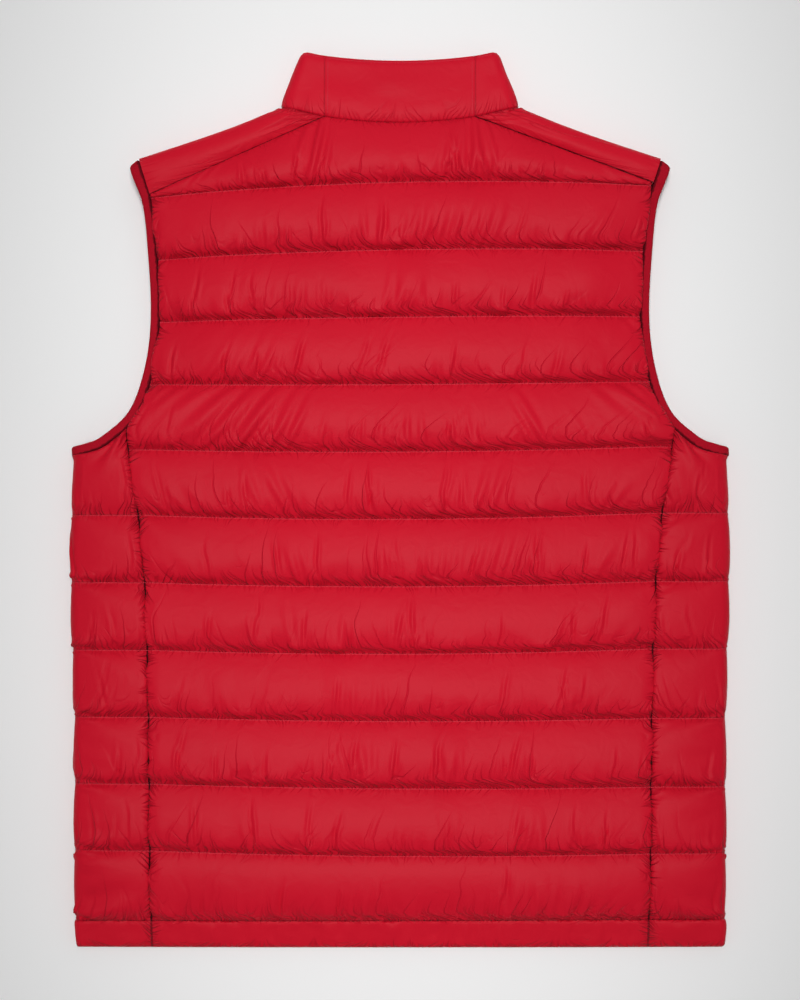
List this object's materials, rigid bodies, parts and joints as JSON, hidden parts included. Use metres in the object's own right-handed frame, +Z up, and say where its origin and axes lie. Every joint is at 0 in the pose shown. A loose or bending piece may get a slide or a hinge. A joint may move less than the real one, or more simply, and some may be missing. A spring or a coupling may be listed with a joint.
{
  "type": "padded vest",
  "caption": "Sleeveless padded jacket with a stand collar, straight quilted channels and a front zip, laid flat with its back up.",
  "frame": {"origin": "middle of the rectangle that the vest covers, on the surface it lies on", "axes": "+X to the right of the back as seen from above, +Y from the hem to the collar, +Z up from the surface"},
  "size_m": [0.552, 0.753, 0.0357],
  "materials": {
    "quilted_shell": "smooth woven polyester or nylon with a soft sheen",
    "collar_cloth": "the same cloth, lightly padded and smooth",
    "armhole_binding": "matt knitted binding tape",
    "hem_band": "the same cloth, doubled over elastic",
    "zip_tape": "woven tape",
    "zip_teeth": "nylon coil",
    "zip_metal": "enamelled zinc casting"
  },
  "bodies": {
    "vest": {"back_panel": "quilted_shell", "side_panel_left": "quilted_shell", "side_panel_right": "quilted_shell", "shoulder_yoke_left": "quilted_shell", "shoulder_yoke_right": "quilted_shell", "front_panel_left": "quilted_shell", "front_panel_right": "quilted_shell", "collar_back": "collar_cloth", "collar_side_left": "collar_cloth", "collar_side_right": "collar_cloth", "armhole_binding_left": "armhole_binding", "armhole_binding_right": "armhole_binding", "hem_band_back": "hem_band", "hem_band_side_left": "hem_band", "hem_band_side_right": "hem_band", "hem_band_front_left": "hem_band", "hem_band_front_right": "hem_band", "zip_tape_left": "zip_tape", "zip_tape_right": "zip_tape", "zip_chain": "zip_teeth", "zip_retainer": "zip_metal", "zip_slider": "zip_metal"},
    "pull_tab": {"zip_pull_tab": "zip_metal"}
  },
  "joints": [
    {"name": "pull_tab_swing", "type": "hinge", "parent": "vest", "child": "pull_tab", "pos_m": [0, 0.34, 0.0023], "axis": [1, 0, 0], "range_deg": [0, 180]}
  ]
}
